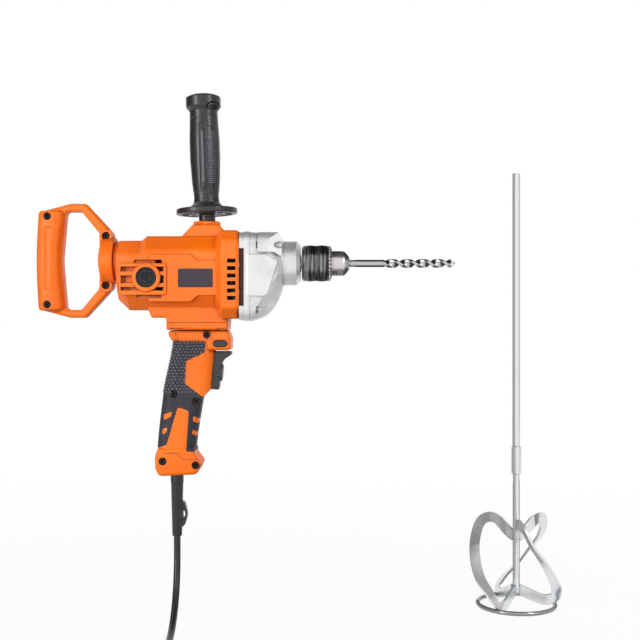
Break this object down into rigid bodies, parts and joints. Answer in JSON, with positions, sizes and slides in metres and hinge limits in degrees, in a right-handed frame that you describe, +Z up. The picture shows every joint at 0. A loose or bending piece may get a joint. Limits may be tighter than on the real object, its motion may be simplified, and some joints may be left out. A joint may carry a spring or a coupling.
{
  "type": "mixing drill",
  "caption": "Corded mixing drill with D-shaped rear handle, pistol grip, side handle, cast gear case, keyed chuck with bit, and its loose stirring paddle.",
  "frame": {"origin": "on the spindle axis, half way along the round collar of the gear case nose", "axes": "+X along the spindle towards the chuck, +Z up along the side handle, -Y towards the side with the plate"},
  "size_m": [0.6305, 0.3901, 0.6219],
  "materials": {
    "orange_plastic": "moulded, fine satin",
    "black_plastic": "moulded, satin",
    "soft_cover": "soft moulded cover, dimpled",
    "cast_aluminium": "die cast, matte",
    "dark_plate": "dark, oiled",
    "steel": "turned",
    "bright_steel": "ground",
    "black_steel": "black oxide",
    "lamination": "stacked sheet",
    "copper": "enamelled wire",
    "brass": "drawn",
    "carbon": "pressed carbon",
    "cord_rubber": "cord sheath",
    "plate_film": "bare dark plate",
    "galvanised": "zinc plated"
  },
  "bodies": {
    "tool": {"motor_housing": "orange_plastic", "nameplate": "plate_film", "gear_case": "cast_aluminium", "gear_plate": "dark_plate", "case_screws": "black_steel", "layshaft_bushes": "brass", "spindle_bush": "brass", "spindle_bearing": "bright_steel", "stator_core": "lamination", "field_coils": "copper", "rear_bearing": "bright_steel", "front_bearing": "bright_steel", "brush_holders": "brass", "carbon_brushes": "carbon", "brush_springs": "steel", "brush_caps": "black_plastic", "side_handle_grip": "black_plastic", "side_handle_stud": "steel", "grip_left": "orange_plastic", "grip_right": "orange_plastic", "overmould_left": "soft_cover", "overmould_right": "soft_cover", "grip_screws": "black_steel", "switch_body": "black_plastic", "cord_guard": "cord_rubber", "cord_clamp": "black_plastic", "power_cord": "cord_rubber", "cord_coil": "cord_rubber", "cord_tie": "black_plastic", "plug": "cord_rubber", "plug_pins": "bright_steel"},
    "rear_handle": {"rear_handle_left": "orange_plastic", "rear_handle_right": "orange_plastic", "rear_handle_screws": "black_steel"},
    "trigger": {"trigger": "black_plastic"},
    "dial": {"speed_dial": "black_plastic"},
    "selector": {"reverse_selector": "black_plastic"},
    "armature": {"armature_shaft": "steel", "armature_core": "lamination", "armature_winding": "copper", "commutator": "copper", "fan": "black_plastic"},
    "layshaft": {"layshaft": "steel", "layshaft_gear": "steel"},
    "spindle": {"spindle": "steel", "spindle_gear": "steel", "chuck_body": "steel", "drill_bit": "bright_steel"},
    "sleeve": {"chuck_sleeve": "black_steel", "chuck_ring": "steel"},
    "jaw_1": {"chuck_jaw_1": "bright_steel"},
    "jaw_2": {"chuck_jaw_2": "bright_steel"},
    "jaw_3": {"chuck_jaw_3": "bright_steel"},
    "paddle": {"paddle_shank": "galvanised", "paddle_coupler": "galvanised", "paddle_shaft": "galvanised", "paddle_ring": "galvanised", "paddle_blade_1": "galvanised", "paddle_blade_2": "galvanised", "paddle_blade_3": "galvanised"}
  },
  "joints": [
    {"name": "rear_handle_swivel", "type": "hinge", "parent": "tool", "child": "rear_handle", "pos_m": [-0.2145, 0, 0.0028], "axis": [1, 0, 0], "range_deg": [-90, 90]},
    {"name": "trigger_pull", "type": "slide", "parent": "tool", "child": "trigger", "axis": [-0.9964, 0, 0.0847], "range_m": [0, 0.007], "stiffness_N_per_m": 600, "springref_m": -0.006},
    {"name": "speed_dial_turn", "type": "hinge", "parent": "trigger", "child": "dial", "pos_m": [-0.0832, 0, -0.1274], "axis": [0.9964, 0, -0.0847], "range_deg": [-135, 135]},
    {"name": "reverse_select", "type": "slide", "parent": "tool", "child": "selector", "axis": [0, 1, 0], "range_m": [-0.0025, 0.0025]},
    {"name": "armature_spin", "type": "hinge", "parent": "tool", "child": "armature", "pos_m": [-0.1, 0, -0.01787], "axis": [1, 0, 0], "continuous": true},
    {"name": "layshaft_spin", "type": "hinge", "parent": "tool", "child": "layshaft", "pos_m": [-0.045, 0, -0.03625], "axis": [1, 0, 0], "continuous": true},
    {"name": "spindle_spin", "type": "hinge", "parent": "tool", "child": "spindle", "pos_m": [0, 0, 0], "axis": [1, 0, 0], "continuous": true},
    {"name": "chuck_sleeve_turn", "type": "hinge", "parent": "spindle", "child": "sleeve", "pos_m": [0.03, 0, 0], "axis": [1, 0, 0], "range_deg": [0, 1440]},
    {"name": "jaw_1_slide", "type": "slide", "parent": "spindle", "child": "jaw_1", "axis": [-0.9848, -0.1504, 0.0868], "range_m": [0, 0.00801]},
    {"name": "jaw_2_slide", "type": "slide", "parent": "spindle", "child": "jaw_2", "axis": [-0.9848, 0, -0.1736], "range_m": [0, 0.00801]},
    {"name": "jaw_3_slide", "type": "slide", "parent": "spindle", "child": "jaw_3", "axis": [-0.9848, 0.1504, 0.0868], "range_m": [0, 0.00801]},
    {"name": "paddle_lift", "type": "slide", "parent": "tool", "child": "paddle", "axis": [0, 0, 1], "range_m": [0, 0.3]}
  ],
  "couplings": [
    {"joint": "layshaft_spin", "follows": "armature_spin", "ratio": -0.16667},
    {"joint": "spindle_spin", "follows": "armature_spin", "ratio": 0.043478},
    {"joint": "jaw_1_slide", "follows": "chuck_sleeve_turn", "m_per_rad": 0.00031831},
    {"joint": "jaw_2_slide", "follows": "chuck_sleeve_turn", "m_per_rad": 0.00031831},
    {"joint": "jaw_3_slide", "follows": "chuck_sleeve_turn", "m_per_rad": 0.00031831}
  ]
}
